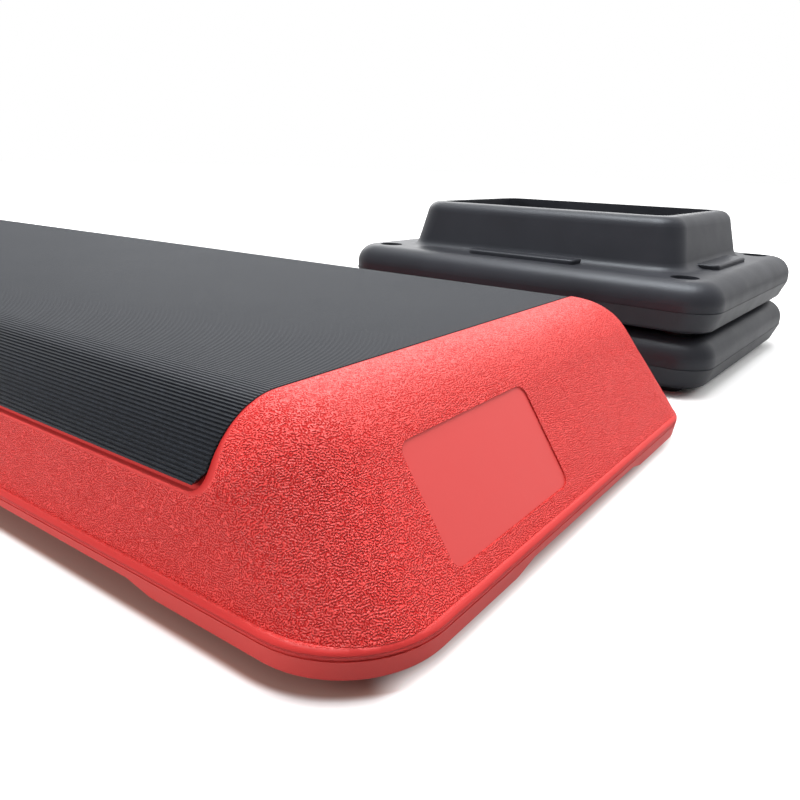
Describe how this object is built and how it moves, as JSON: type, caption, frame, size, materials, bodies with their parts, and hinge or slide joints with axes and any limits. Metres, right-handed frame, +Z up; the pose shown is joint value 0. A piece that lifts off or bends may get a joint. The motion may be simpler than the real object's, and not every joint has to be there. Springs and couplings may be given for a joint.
{
  "type": "aerobic step platform",
  "caption": "Aerobic step: hollow red moulded platform with a ribbed tread mat wrapped over its top and push-in rubber feet, beside black stacking risers that plug in underneath.",
  "frame": {"origin": "on the floor, under the centre of the box round the platform and its risers", "axes": "+X along the platform towards the end with the bare panel, +Y from the platform towards the risers, +Z up"},
  "size_m": [1.1, 0.8099, 0.152],
  "materials": {
    "red_shell": "grained moulded plastic",
    "mat_rubber": "matt ribbed rubber",
    "riser_black": "satin moulded plastic",
    "foot_rubber": "matt rubber"
  },
  "bodies": {
    "platform": {"platform_shell": "red_shell", "tread_mat": "mat_rubber", "platform_foot_front_left": "foot_rubber", "platform_foot_front_right": "foot_rubber", "platform_foot_rear_left": "foot_rubber", "platform_foot_rear_right": "foot_rubber"},
    "lower_riser": {"lower_riser_shell": "riser_black", "lower_riser_foot_front_left": "foot_rubber", "lower_riser_foot_front_right": "foot_rubber", "lower_riser_foot_rear_left": "foot_rubber", "lower_riser_foot_rear_right": "foot_rubber"},
    "upper_riser": {"upper_riser_shell": "riser_black", "upper_riser_foot_front_left": "foot_rubber", "upper_riser_foot_front_right": "foot_rubber", "upper_riser_foot_rear_left": "foot_rubber", "upper_riser_foot_rear_right": "foot_rubber"}
  },
  "joints": [
    {"name": "lower_riser_lift", "type": "slide", "parent": "platform", "child": "lower_riser", "axis": [0, 0, 1], "range_m": [0, 0.2]},
    {"name": "upper_riser_lift", "type": "slide", "parent": "lower_riser", "child": "upper_riser", "axis": [0, 0, 1], "range_m": [0, 0.12]}
  ]
}
